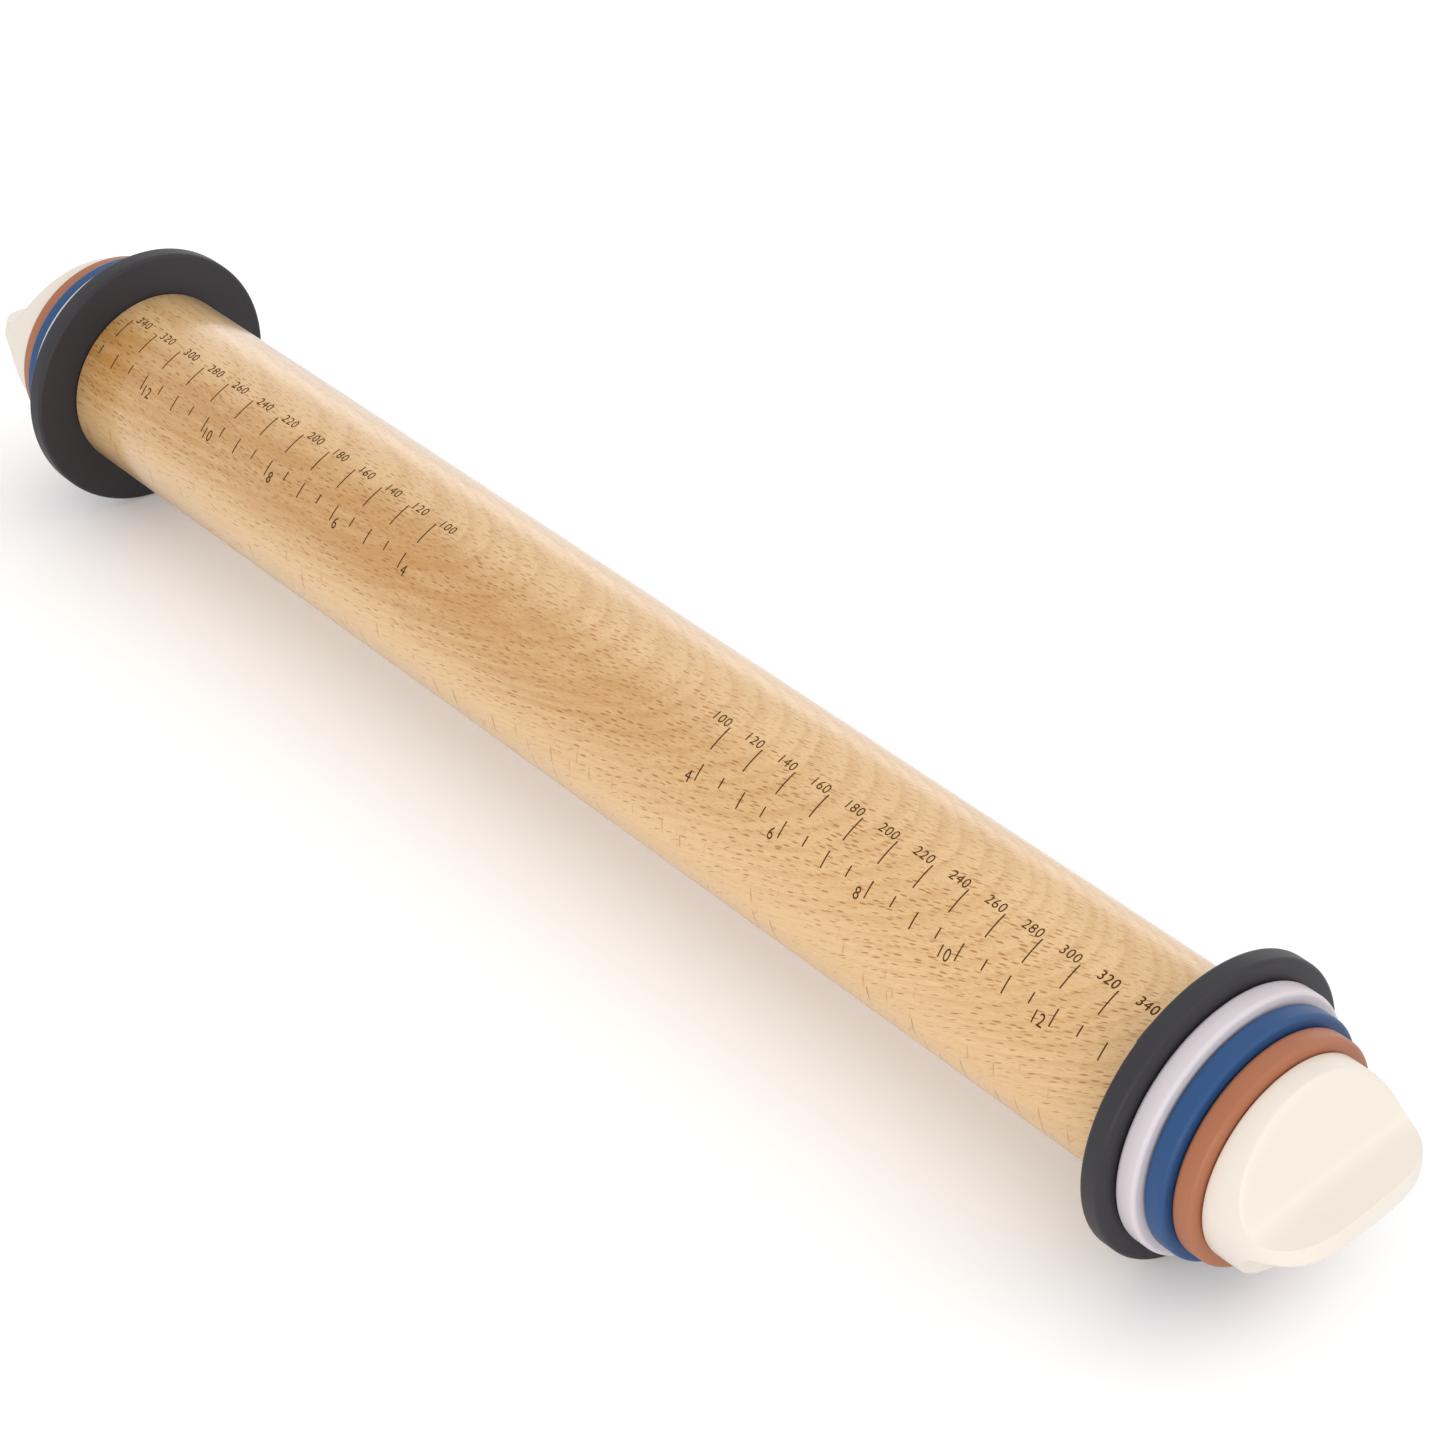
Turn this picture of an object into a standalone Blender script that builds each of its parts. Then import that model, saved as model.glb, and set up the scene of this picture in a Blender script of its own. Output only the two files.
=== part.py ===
"""Adjustable rolling pin: a beech barrel, four thickness rings and a screw-in cap at each end.

The frame is in metres. +X runs along the pin, +Z is up, and the origin is the barrel's centre.
Each end is modelled once with +X pointing outwards, and the left end is that one turned half
way round about Z, so both threads are right-handed.
"""
import math

import bmesh
import bpy
from mathutils import Vector

# Barrel
BARREL_DIAMETER = 0.045
BARREL_LENGTH = 0.350
BARREL_EDGE = 0.0003
BARREL_SEGMENTS = 64

# Clearance between neighbours that touch, and round a shaft in its hole
SEAT_GAP = 0.0003
SHAFT_GAP = 0.0003

# Rings, from the barrel outwards: the height that each adds under the barrel
RING_WIDTH = 0.0049
RING_EDGE_RADIUS = 0.001
RING_EDGE_STEPS = 2
RING_SEGMENTS = 48
CHARCOAL_RISE = 0.010
LILAC_RISE = 0.006
BLUE_RISE = 0.004
TERRACOTTA_RISE = 0.002

# Stem: flange in the cap's back, plain shank through the rings, then the thread
SHANK_DIAMETER = 0.024
FLANGE_DIAMETER = 0.036
FLANGE_THICKNESS = 0.003
BOSS_DIAMETER = 0.008
BOSS_LENGTH = 0.005
STEM_BORE_DIAMETER = 0.013
STEM_BORE_WEB = 0.0066
STEM_END_GAP = 0.0015
STEM_SEGMENTS = 24

# Thread, shared by the stem and its socket
THREAD_PITCH = 0.006
THREAD_DEPTH = 0.0018
THREAD_GAP = 0.0006
THREAD_RUNOUT = 0.003
THREAD_ROWS_PER_TURN = 6

# Socket pressed into the barrel's bore
SOCKET_DIAMETER = 0.029
SOCKET_LENGTH = 0.030
SOCKET_FLOOR = 0.003

# Cap: a blunt dome whose two sides are scooped away to leave a thumb wing
CAP_RIM_STEP = 0.0006
CAP_HEIGHT = 0.0214
DOME_NOSE_POWER = 3.8
DOME_SIDE_POWER = 3.4
SCOOP_START = 0.0045
SCOOP_OVERREACH_SHARE = 0.25
SCOOP_HOLLOW_POWER = 5.8
SCOOP_BLEND_POWER = 12
WING_THICKNESS = 0.0052
WING_TAPER = 0.0009
WING_TAPER_POWER = 2.6
CAP_CROWDING = 0.35
CAP_SEGMENTS = 48
CAP_ROWS = 18

# How far each cap is turned about its own axis from a level wing, in degrees
RIGHT_CAP_TURN = 6.5
LEFT_CAP_TURN = 17.5

# Edges that bend by more degrees than this are shaded as corners
SHARP_BEND = 35

# Worked out from the values above
BARREL_RADIUS = BARREL_DIAMETER / 2
BARREL_END = BARREL_LENGTH / 2
SHANK_RADIUS = SHANK_DIAMETER / 2
RING_BORE_RADIUS = SHANK_RADIUS + SHAFT_GAP
SOCKET_RADIUS = SOCKET_DIAMETER / 2
BARREL_BORE_RADIUS = SOCKET_RADIUS + SHAFT_GAP
BARREL_BORE_DEPTH = SOCKET_LENGTH + SEAT_GAP
RISES = {
    "charcoal": CHARCOAL_RISE,
    "lilac": LILAC_RISE,
    "blue": BLUE_RISE,
    "terracotta": TERRACOTTA_RISE,
}
RING_PITCH = RING_WIDTH + SEAT_GAP
CAP_BASE = BARREL_END + SEAT_GAP + len(RISES) * RING_PITCH
STEM_REACH = SOCKET_LENGTH - SOCKET_FLOOR - STEM_END_GAP
CAP_RIM_RADIUS = BARREL_RADIUS - CAP_RIM_STEP


def clear_scene():
    """Removes whatever the scene holds."""
    for thing in list(bpy.data.objects):
        bpy.data.objects.remove(thing, do_unlink=True)


def material(name, colour, roughness):
    """A plain Principled material."""
    made = bpy.data.materials.new(name)
    made.use_nodes = True
    shader = made.node_tree.nodes["Principled BSDF"]
    shader.inputs["Base Color"].default_value = (*colour, 1)
    shader.inputs["Roughness"].default_value = roughness
    shader.inputs["Metallic"].default_value = 0
    return made


def angles(count):
    """Angles about +X from +Y towards +Z; a flat facet faces each of +-Y and +-Z."""
    return [math.tau * (step + 0.5) / count for step in range(count)]


def loop(x, radius, count):
    """A ring of points about the X axis; the radius is a number or a function of the angle."""
    points = []
    for angle in angles(count):
        reach = radius(angle) if callable(radius) else radius
        points.append(Vector((x, reach * math.cos(angle), reach * math.sin(angle))))
    return points


def skin(name, loops, closed=False, poles=(None, None)):
    """Joins each ring of points to the next; a pole closes an end with a fan to one point."""
    shape = bmesh.new()
    rows = [[shape.verts.new(point) for point in ring] for ring in loops]
    pairs = list(zip(rows, rows[1:]))
    if closed:
        pairs.append((rows[-1], rows[0]))
    for low, high in pairs:
        for step in range(len(low)):
            after = (step + 1) % len(low)
            shape.faces.new((low[step], low[after], high[after], high[step]))
    for pole, row in zip(poles, (rows[0], rows[-1])):
        if pole is None:
            continue
        centre = shape.verts.new((pole, 0, 0))
        for step in range(len(row)):
            shape.faces.new((row[step], row[(step + 1) % len(row)], centre))
    bmesh.ops.recalc_face_normals(shape, faces=shape.faces)
    mesh = bpy.data.meshes.new(name)
    shape.to_mesh(mesh)
    shape.free()
    mesh.shade_smooth()
    mesh.set_sharp_from_angle(angle=math.radians(SHARP_BEND))
    return mesh


def place(name, mesh, finish, parent=None, x=0):
    """Adds the mesh as a named object on the pin's axis."""
    thing = bpy.data.objects.new(name, mesh)
    thing.data.materials.append(finish)
    thing.parent = parent
    thing.location = (x, 0, 0)
    bpy.context.collection.objects.link(thing)
    return thing


def frame(name, parent=None, about_z=0, about_x=0):
    """An empty that turns what it carries."""
    empty = bpy.data.objects.new(name, None)
    empty.parent = parent
    empty.rotation_euler = (about_x, 0, about_z)
    bpy.context.collection.objects.link(empty)
    return empty


def barrel_mesh():
    """A turned cylinder with a blind bore in each end."""
    count = BARREL_SEGMENTS
    floor = BARREL_END - BARREL_BORE_DEPTH
    half = [
        (floor, BARREL_BORE_RADIUS),
        (BARREL_END, BARREL_BORE_RADIUS),
        (BARREL_END, BARREL_RADIUS - BARREL_EDGE),
        (BARREL_END - BARREL_EDGE, BARREL_RADIUS),
    ]
    profile = half + [(-x, radius) for x, radius in reversed(half)]
    loops = [loop(x, radius, count) for x, radius in profile]
    return skin("wood_barrel", loops, poles=(floor, -floor))


def ring_mesh(name, outer_radius):
    """A flat ring with a rounded rim; its inner face is at zero."""
    centre = outer_radius - RING_EDGE_RADIUS
    profile = [(0, RING_BORE_RADIUS)]
    for step in range(RING_EDGE_STEPS + 1):
        bend = math.pi / 2 * step / RING_EDGE_STEPS
        x = RING_EDGE_RADIUS * (1 - math.cos(bend))
        profile.append((x, centre + RING_EDGE_RADIUS * math.sin(bend)))
    profile += [(RING_WIDTH - x, radius) for x, radius in reversed(profile)]
    return skin(name, [loop(x, radius, RING_SEGMENTS) for x, radius in profile], closed=True)


def thread_wave(x, angle):
    """From -1 in a right-hand thread's groove to 1 on its crest."""
    return math.cos(math.tau * x / THREAD_PITCH - angle)


def fade(distance):
    """Rises from 0 to 1 over the thread's run-out."""
    share = min(max(distance / THREAD_RUNOUT, 0), 1)
    return share * share * (3 - 2 * share)


def thread_rows(start, end):
    """Evenly spaced stations along a thread, both ends included."""
    rows = math.ceil((end - start) / THREAD_PITCH * THREAD_ROWS_PER_TURN)
    return [start + (end - start) * row / rows for row in range(rows + 1)]


def stem_mesh():
    """The flanged stem; its zero is the cap's base, and the thread is cut behind the rings."""
    count = STEM_SEGMENTS
    crest = SHANK_RADIUS
    root = SHANK_RADIUS - THREAD_DEPTH
    thread_start = BARREL_END - CAP_BASE - STEM_REACH
    thread_end = BARREL_END - CAP_BASE
    bore = STEM_BORE_DIAMETER / 2
    loops = [
        loop(-STEM_BORE_WEB, bore, count),
        loop(thread_start, bore, count),
    ]
    for x in thread_rows(thread_start, thread_end):
        if x < (thread_start + thread_end) / 2:
            strength = fade(x - thread_start)
            radius = lambda angle: root + THREAD_DEPTH * (1 + thread_wave(x, angle)) / 2 * strength
        else:
            strength = fade(thread_end - x)
            radius = lambda angle: crest - THREAD_DEPTH * (1 - thread_wave(x, angle)) / 2 * strength
        loops.append(loop(x, radius, count))
    for x, radius in (
        (0, SHANK_RADIUS),
        (0, FLANGE_DIAMETER / 2),
        (FLANGE_THICKNESS, FLANGE_DIAMETER / 2),
        (FLANGE_THICKNESS, BOSS_DIAMETER / 2),
        (FLANGE_THICKNESS + BOSS_LENGTH, BOSS_DIAMETER / 2),
    ):
        loops.append(loop(x, radius, count))
    poles = (-STEM_BORE_WEB, FLANGE_THICKNESS + BOSS_LENGTH)
    return skin("threaded_stem", loops, poles=poles)


def socket_mesh():
    """A cup with an inside thread; its zero is the barrel's end face."""
    count = STEM_SEGMENTS
    crest = SHANK_RADIUS + THREAD_GAP
    thread_start = SOCKET_FLOOR - SOCKET_LENGTH
    shift = BARREL_END - CAP_BASE
    loops = []
    for x in thread_rows(thread_start, 0):
        strength = min(fade(x - thread_start), fade(-x))
        radius = lambda angle: crest - THREAD_DEPTH * (1 - thread_wave(x + shift, angle)) / 2 * strength
        loops.append(loop(x, radius, count))
    loops.append(loop(0, SOCKET_RADIUS, count))
    loops.append(loop(-SOCKET_LENGTH, SOCKET_RADIUS, count))
    return skin("thread_socket", loops, poles=(thread_start, -SOCKET_LENGTH))


def cap_section(x):
    """The cap's radius as a plain dome, and half its thickness in the middle of the scoops."""
    dome = max(1 - (x / CAP_HEIGHT) ** DOME_NOSE_POWER, 0)
    radius = CAP_RIM_RADIUS * dome ** (1 / DOME_SIDE_POWER)
    depth = min(max((x - SCOOP_START) / (CAP_HEIGHT - SCOOP_START), 0), 1)
    wing = WING_THICKNESS / 2
    mouth = CAP_RIM_RADIUS * (1 + SCOOP_OVERREACH_SHARE)
    return radius, wing + (mouth - wing) * (1 - depth) ** SCOOP_HOLLOW_POWER


def cap_loop(x):
    """One section of the cap: a circle at the rim, then cut flat into the wing, which lies along Y."""
    radius, scoop = cap_section(x)
    points = []
    for even in angles(CAP_SEGMENTS):
        angle = even - CAP_CROWDING * math.sin(2 * even)
        y = radius * math.cos(angle)
        dome = radius * abs(math.sin(angle))
        flat = scoop - WING_TAPER * abs(y / CAP_RIM_RADIUS) ** WING_TAPER_POWER
        half = dome / (1 + (dome / flat) ** SCOOP_BLEND_POWER) ** (1 / SCOOP_BLEND_POWER)
        points.append(Vector((x, y, math.copysign(half, math.sin(angle)))))
    return points


def cap_mesh():
    """The knob, with the pocket in its back that the stem's flange and boss fill."""
    count = CAP_SEGMENTS
    pocket_radius = FLANGE_DIAMETER / 2 + SHAFT_GAP
    pocket_depth = FLANGE_THICKNESS + SEAT_GAP
    hole_radius = BOSS_DIAMETER / 2 + SHAFT_GAP
    hole_depth = pocket_depth + BOSS_LENGTH
    loops = [
        loop(hole_depth, hole_radius, count),
        loop(pocket_depth, hole_radius, count),
        loop(pocket_depth, pocket_radius, count),
        loop(0, pocket_radius, count),
    ]
    for row in range(CAP_ROWS):
        loops.append(cap_loop(CAP_HEIGHT * math.sin(math.pi / 2 * row / CAP_ROWS)))
    return skin("end_cap", loops, poles=(hole_depth, CAP_HEIGHT))


def build_end(side, about_z, cap_turn, finishes):
    """One end of the pin: its rings, socket, stem and cap."""
    end = frame(f"end_frame_{side}", about_z=about_z)
    turned = frame(f"cap_frame_{side}", parent=end, about_x=math.radians(cap_turn))
    for number, (colour, rise) in enumerate(RISES.items()):
        mesh = ring_mesh(f"{colour}_ring", BARREL_RADIUS + rise)
        x = BARREL_END + SEAT_GAP + number * RING_PITCH
        place(f"{colour}_ring_{side}", mesh, finishes[colour], end, x)
    place(f"thread_socket_{side}", socket_mesh(), finishes["socket"], turned, BARREL_END)
    place(f"threaded_stem_{side}", stem_mesh(), finishes["stem"], turned, CAP_BASE)
    place(f"end_cap_{side}", cap_mesh(), finishes["cream"], turned, CAP_BASE)


def build():
    """Builds the whole pin."""
    clear_scene()
    finishes = {
        "beech": material("beech", (0.75, 0.52, 0.30), 0.45),
        "charcoal": material("charcoal_plastic", (0.045, 0.042, 0.048), 0.5),
        "lilac": material("lilac_plastic", (0.75, 0.70, 0.77), 0.5),
        "blue": material("blue_plastic", (0.05, 0.12, 0.30), 0.5),
        "terracotta": material("terracotta_plastic", (0.53, 0.19, 0.095), 0.5),
        "cream": material("cream_plastic", (0.90, 0.84, 0.74), 0.4),
        "stem": material("stem_plastic", (0.80, 0.78, 0.74), 0.5),
        "socket": material("socket_plastic", (0.70, 0.68, 0.64), 0.6),
    }
    place("wood_barrel", barrel_mesh(), finishes["beech"])
    build_end("right", 0, RIGHT_CAP_TURN, finishes)
    build_end("left", math.pi, LEFT_CAP_TURN, finishes)
    bpy.context.view_layer.update()


build()
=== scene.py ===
# %% [markdown]
# # A rolling pin with removable thickness rings
#
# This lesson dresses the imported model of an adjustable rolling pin: a beech barrel, four coloured
# rings at each end, and a cream cap that screws in and holds the rings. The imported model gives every
# size and place, so each piece below starts from what the frame says and only adds what a solid
# for physics leaves out: fine round edges, grain, burnt-in scales and the finish of each surface.

# %% Load the frame and measure it
import math

import bpy
import numpy as np
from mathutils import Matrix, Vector


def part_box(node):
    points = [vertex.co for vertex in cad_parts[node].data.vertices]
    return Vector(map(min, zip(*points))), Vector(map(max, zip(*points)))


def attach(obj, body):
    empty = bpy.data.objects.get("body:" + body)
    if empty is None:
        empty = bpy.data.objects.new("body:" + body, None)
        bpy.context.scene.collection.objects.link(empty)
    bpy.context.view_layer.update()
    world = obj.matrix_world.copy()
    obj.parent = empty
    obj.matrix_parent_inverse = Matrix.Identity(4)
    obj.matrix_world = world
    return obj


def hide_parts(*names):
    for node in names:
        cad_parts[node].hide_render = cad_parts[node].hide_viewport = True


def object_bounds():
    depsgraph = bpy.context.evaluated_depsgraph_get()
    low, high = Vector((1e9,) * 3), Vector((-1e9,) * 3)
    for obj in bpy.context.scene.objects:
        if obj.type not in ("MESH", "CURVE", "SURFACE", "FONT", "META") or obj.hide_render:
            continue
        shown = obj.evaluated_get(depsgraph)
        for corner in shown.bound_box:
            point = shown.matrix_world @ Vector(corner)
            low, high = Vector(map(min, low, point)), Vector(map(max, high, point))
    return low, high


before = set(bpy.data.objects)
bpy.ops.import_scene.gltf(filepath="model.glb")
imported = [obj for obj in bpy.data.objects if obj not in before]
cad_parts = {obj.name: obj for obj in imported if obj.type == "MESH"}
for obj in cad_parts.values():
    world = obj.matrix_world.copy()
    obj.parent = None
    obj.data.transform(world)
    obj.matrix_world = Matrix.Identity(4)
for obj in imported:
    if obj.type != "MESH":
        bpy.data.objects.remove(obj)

cad_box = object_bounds()


def reach(node):
    """Where a CAD node starts and ends along the pin, and its least and greatest radius."""
    low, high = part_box(node)
    radii = [math.hypot(v.co.y, v.co.z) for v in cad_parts[node].data.vertices]
    return low.x, high.x, min(radii), max(radii)


_, BARREL_END, _, BARREL_RADIUS = reach("wood_barrel")
CAP_BASE, CAP_TIP, _, CAP_RIM_RADIUS = reach("end_cap_right")
SIDES = {"right": 1, "left": -1}
MM = 0.001
print("barrel", BARREL_END, BARREL_RADIUS, "cap", CAP_BASE, CAP_TIP, CAP_RIM_RADIUS)

# %% [markdown]
# ## The camera
#
# The photograph was taken from above one end, with a long lens close enough to make the near end
# clearly larger. A camera is easiest to check when it is said the way a photographer would: where
# it aims, from which side and height it looks, and how far away it stands. The lens then sets how
# much of the pin fills the frame.

# %% Place the camera
AIM = Vector((38.4 * MM, 0, 12.3 * MM))
CAMERA_AZIMUTH = math.radians(49.118)
CAMERA_ELEVATION = math.radians(35.785)
CAMERA_DISTANCE = 766.9 * MM
LENS = 91.741
FILM_WIDTH = 36
NEAREST_SEEN = 50 * MM

back = Vector((
    math.sin(CAMERA_AZIMUTH) * math.cos(CAMERA_ELEVATION),
    -math.cos(CAMERA_AZIMUTH) * math.cos(CAMERA_ELEVATION),
    math.sin(CAMERA_ELEVATION),
))
camera = bpy.data.objects.new("camera", bpy.data.cameras.new("camera"))
camera.data.sensor_width = FILM_WIDTH
camera.data.lens = LENS
camera.data.clip_start = NEAREST_SEEN
camera.location = AIM + back * CAMERA_DISTANCE
camera.rotation_euler = back.to_track_quat("Z", "Y").to_euler()
bpy.context.scene.collection.objects.link(camera)
bpy.context.scene.camera = camera
print("camera", [round(value, 4) for value in camera.location])

# %% [markdown]
# ## Small helpers for node trees
#
# Shader trees and Geometry Nodes trees are both built by adding a node, setting its options and
# feeding its inputs. One helper does all three, and takes either a plain value or another node's
# output for each input. A few more name the nodes that come up again and again, which keeps the
# recipes below short enough to read.

# %% Helpers that build node trees
def put(tree, kind, options=None, inputs=None):
    """Adds a node, sets its options, and sets or links each input."""
    made = tree.nodes.new(kind)
    for option, value in (options or {}).items():
        setattr(made, option, value)
    for place, value in (inputs or {}).items():
        if isinstance(value, bpy.types.NodeSocket):
            tree.links.new(value, made.inputs[place])
        else:
            made.inputs[place].default_value = value
    return made


def calc(tree, operation, first, second=0.0, third=0.0):
    """One step of arithmetic in a node tree."""
    options = {"operation": operation}
    return put(tree, "ShaderNodeMath", options, {0: first, 1: second, 2: third}).outputs[0]


def vector_calc(tree, operation, first, second):
    """One step of arithmetic with vectors; gives the node's outputs, Vector and Value."""
    options = {"operation": operation}
    return put(tree, "ShaderNodeVectorMath", options, {0: first, 1: second}).outputs


def ramp_up(tree, value, low, high, to_low=0.0, to_high=1.0):
    """A smooth step: to_low below low, to_high above high."""
    inputs = {"Value": value, "From Min": low, "From Max": high, "To Min": to_low, "To Max": to_high}
    return put(tree, "ShaderNodeMapRange", {"interpolation_type": "SMOOTHSTEP"}, inputs).outputs[0]


def split_vector(tree, vector):
    """The x, y and z of a vector."""
    return put(tree, "ShaderNodeSeparateXYZ", None, {0: vector}).outputs


def join_vector(tree, x=0.0, y=0.0, z=0.0):
    """A vector made of three values."""
    return put(tree, "ShaderNodeCombineXYZ", None, {0: x, 1: y, 2: z}).outputs[0]


def noise(tree, place, scale, detail):
    """Soft noise from 0 to 1 at a place."""
    inputs = {"Vector": place, "Scale": scale, "Detail": detail}
    return put(tree, "ShaderNodeTexNoise", None, inputs).outputs[0]


def blend_colours(tree, amount, first, second):
    """Mixes two colours by an amount."""
    inputs = {0: amount, 6: first, 7: second}
    return put(tree, "ShaderNodeMix", {"data_type": "RGBA"}, inputs).outputs[2]


print("node helpers ready")

# %% [markdown]
# ## Node groups with named inputs
#
# A tree that serves more than once is best kept as a group whose inputs have names, like the
# arguments of a function. In Blender 4.5 a group's sockets belong to its interface, so one helper
# makes the empty group, its sockets, and the two nodes through which they are reached.

# %% A helper that starts a node group
NUMBER = "NodeSocketFloat"
WHOLE = "NodeSocketInt"
COLOUR = "NodeSocketColor"
GEOMETRY = "NodeSocketGeometry"
MATERIAL = "NodeSocketMaterial"


def new_group(name, kind, inputs, outputs):
    """An empty node group with its named sockets; gives the tree, its input and its output node."""
    tree = bpy.data.node_groups.new(name, kind)
    for label, socket_type, value in inputs:
        socket = tree.interface.new_socket(label, in_out="INPUT", socket_type=socket_type)
        if value is not None:
            socket.default_value = value
    for label, socket_type in outputs:
        tree.interface.new_socket(label, in_out="OUTPUT", socket_type=socket_type)
    return tree, tree.nodes.new("NodeGroupInput"), tree.nodes.new("NodeGroupOutput")


print("kinds of socket", NUMBER, WHOLE, COLOUR, GEOMETRY, MATERIAL)

# %% [markdown]
# ## Beech: the log's own coordinates
#
# A picture of wood wrapped round the barrel could never show it the right way both on its crest and
# on its sides, so the wood is a solid pattern, as if the barrel were turned from a real log. Each
# point is first put into the log's own coordinates: along the trunk, round the growth rings, and
# outwards from the pith, which lies far below the barrel and a little behind it. The trunk was
# never quite straight. A lean and a bow along the pin tilt the dashes and draw the growth rings as
# nested arches, and a small wandering keeps either from looking ruled.

# %% Coordinates of the log
BARK_SIDE = math.radians(16)
PITH_DISTANCE = 110 * MM
DASH_BEND = {"lean": 0.12, "bow": 0.45, "stray": 2.4 * MM}
RING_BEND = {"lean": -0.20, "bow": -0.44, "stray": 2.0 * MM}
WANDER_SCALE = 38.0


def log_coordinates(tree, place, along):
    """Along the trunk, round the rings, out from the pith, and how squarely the bark side faces."""
    outwards = (0, -math.sin(BARK_SIDE), math.cos(BARK_SIDE))
    sideways = (0, -math.cos(BARK_SIDE), -math.sin(BARK_SIDE))
    out = vector_calc(tree, "DOT_PRODUCT", place, outwards)["Value"]
    side = vector_calc(tree, "DOT_PRODUCT", place, sideways)["Value"]
    facing = calc(tree, "ABSOLUTE", calc(tree, "DIVIDE", out, BARREL_RADIUS))
    out = calc(tree, "ADD", out, PITH_DISTANCE)
    squares = calc(tree, "ADD", calc(tree, "MULTIPLY", out, out), calc(tree, "MULTIPLY", side, side))
    around = calc(tree, "MULTIPLY", calc(tree, "ARCTAN2", side, out), PITH_DISTANCE)
    squared = calc(tree, "MULTIPLY", along, along)
    wander = calc(tree, "SUBTRACT", noise(tree, place, WANDER_SCALE, 1.0), 0.5)

    def bent(value, lean, bow, stray):
        """A coordinate that follows the trunk's lean, its bow and its small wandering."""
        value = calc(tree, "MULTIPLY_ADD", along, lean, value)
        value = calc(tree, "MULTIPLY_ADD", squared, bow, value)
        return calc(tree, "MULTIPLY_ADD", wander, stray, value)

    return along, bent(around, **DASH_BEND), bent(calc(tree, "SQRT", squares), **RING_BEND), facing


def stretched(tree, log, sizes):
    """The log's coordinates counted in steps of the given sizes."""
    return join_vector(tree, *(calc(tree, "DIVIDE", value, size) for value, size in zip(log, sizes)))


print("pith", PITH_DISTANCE / MM, "mm from the pin's axis")

# %% [markdown]
# ## Beech: rays and flakes
#
# Beech is known by its rays: thin brown sheets that stand along the radius of the log. Where the
# barrel's surface runs along the growth rings they show as short dashes that follow the grain, and
# where it runs along the radius they turn into broad flakes. Drawing dashes and flakes one by one
# would never join up round the barrel. Here each ray is a small flat lozenge in the log's coordinates,
# one in each cell of a Voronoi pattern, and the barrel's surface cuts through it as in real wood.
# How strong each kind is depends on how squarely the bark side faces out. Such a rule is a ramp,
# written as where it starts, where it ends, and the value it has at each of the two.

# %% Rays as small sheets in the log
BIG_RAYS = {
    "spacing": (2.7 * MM, 0.85 * MM, 7 * MM), "half_size": (1.10 * MM, 0.185 * MM, 3.5 * MM),
    "share": 1.0}
FINE_RAYS = {
    "spacing": (1.4 * MM, 0.42 * MM, 4 * MM), "half_size": (0.6 * MM, 0.08 * MM, 2.0 * MM),
    "share": 0.9}
FLAKES = {
    "spacing": (7 * MM, 2.2 * MM, 11 * MM), "half_size": (0.26 * MM, 1.0 * MM, 5 * MM),
    "share": 0.8}
SIZE_BY_FACING = 0.40, 0.95, 1.15, 0.90
SHARE_BY_FACING = 0.30, 0.75, 0.8, 1.0
DASHES_BY_FACING = 0.05, 0.34, 0.38, 1.0
FLAKES_BY_FACING = 0.15, 0.60, 0.85, 0.0
RAY_EDGE = 0.75, 1.15, 1.0, 0.0
RAY_SCATTER = 0.85
SMALLEST_RAY = 0.8
RAY_VARIETY = 0.4
PALEST_RAY = 0.5
SLIMMEST_RAY = 0.3
FINE_RAY_STRENGTH = 0.42
# Painted sheen: on the crest the big rays are drawn fainter, standing in for the lacquer's pale
# reflection there.
SHEEN_FADED_STRENGTH = 0.6
SHEEN_FADE_FRONT = math.radians(-5), math.radians(20), SHEEN_FADED_STRENGTH, 1.0
SHEEN_FADE_BACK = math.radians(-70), math.radians(-35), 1.0, SHEEN_FADED_STRENGTH


def ray_mask(tree, log, spacing, half_size, share, slim=1.0):
    """1 inside the lens-shaped sheets that stand for rays; a share of the cells holds one."""
    facing = log[3]
    cells = stretched(tree, log, spacing)
    voronoi = put(tree, "ShaderNodeTexVoronoi", {"voronoi_dimensions": "3D", "feature": "F1"}, {
        "Vector": cells, "Scale": 1.0, "Randomness": RAY_SCATTER})
    chance = put(tree, "ShaderNodeSeparateColor", None, {0: voronoi.outputs["Color"]}).outputs
    offset = vector_calc(tree, "SUBTRACT", cells, voronoi.outputs["Position"])["Vector"]
    growth = calc(tree, "MULTIPLY_ADD", chance[1], RAY_VARIETY, SMALLEST_RAY)
    growth = calc(tree, "MULTIPLY", growth, ramp_up(tree, facing, *SIZE_BY_FACING))
    whole = [step / half for step, half in zip(spacing, half_size)]
    x, y, z = split_vector(tree, vector_calc(tree, "MULTIPLY", offset, whole)["Vector"])
    y = calc(tree, "DIVIDE", calc(tree, "ABSOLUTE", y), slim)
    far = calc(tree, "MULTIPLY_ADD", x, x, calc(tree, "MULTIPLY_ADD", z, z, y))
    inside = ramp_up(tree, calc(tree, "DIVIDE", far, growth), *RAY_EDGE)
    share = calc(tree, "MULTIPLY", ramp_up(tree, facing, *SHARE_BY_FACING), share)
    present = calc(tree, "LESS_THAN", chance[0], share)
    tone = calc(tree, "MULTIPLY_ADD", chance[2], 1 - PALEST_RAY, PALEST_RAY)
    return calc(tree, "MULTIPLY", inside, calc(tree, "MULTIPLY", present, tone))


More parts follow.
